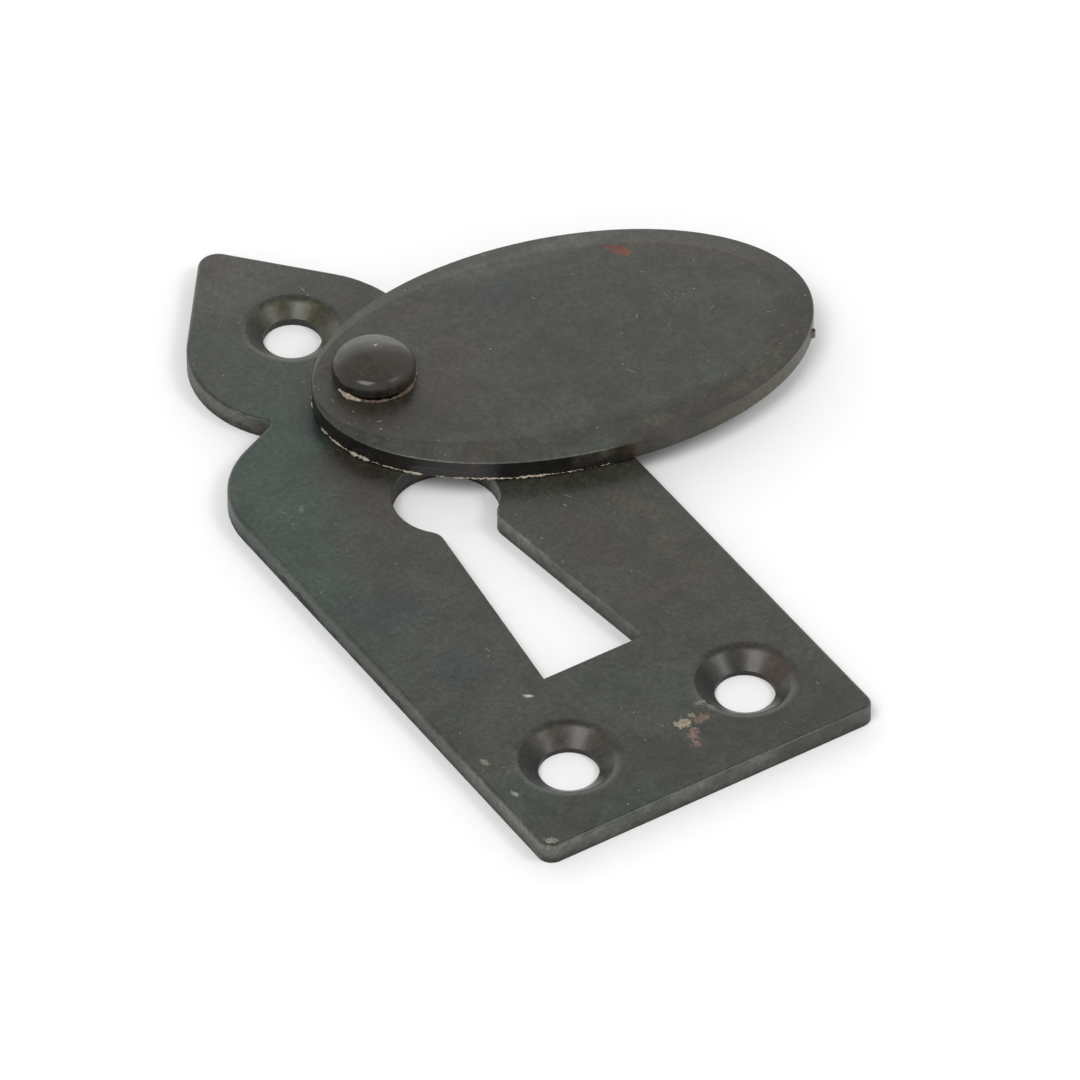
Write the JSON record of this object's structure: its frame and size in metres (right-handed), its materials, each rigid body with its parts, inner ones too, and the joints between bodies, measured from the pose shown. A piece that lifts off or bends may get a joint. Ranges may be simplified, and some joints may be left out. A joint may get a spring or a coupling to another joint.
{
  "type": "covered keyhole escutcheon",
  "caption": "Blackened steel keyhole escutcheon with a leaf-pointed back plate and an oval cover that swings on a domed rivet over the keyhole.",
  "frame": {"origin": "key axis: centre of the keyhole's round, on the plate's back face", "axes": "+Z out of the door, through the face of the plate; +Y up the plate to the leaf's tip; +X to the right as seen from the front"},
  "size_m": [0.0482, 0.0677, 0.0058],
  "materials": {
    "plate_steel": "blackened and waxed sheet steel, green-grey",
    "cover_steel": "blackened and waxed sheet steel, browner towards the rim",
    "rivet_steel": "blackened and waxed steel, polished by the hammer"
  },
  "bodies": {
    "plate": {"back_plate": "plate_steel", "pivot_rivet": "rivet_steel"},
    "cover": {"swing_cover": "cover_steel"}
  },
  "joints": [
    {"name": "cover_swing", "type": "hinge", "parent": "plate", "child": "cover", "pos_m": [0.00162, 0.0124, 0.0026], "axis": [0, 0, 1], "continuous": true}
  ]
}
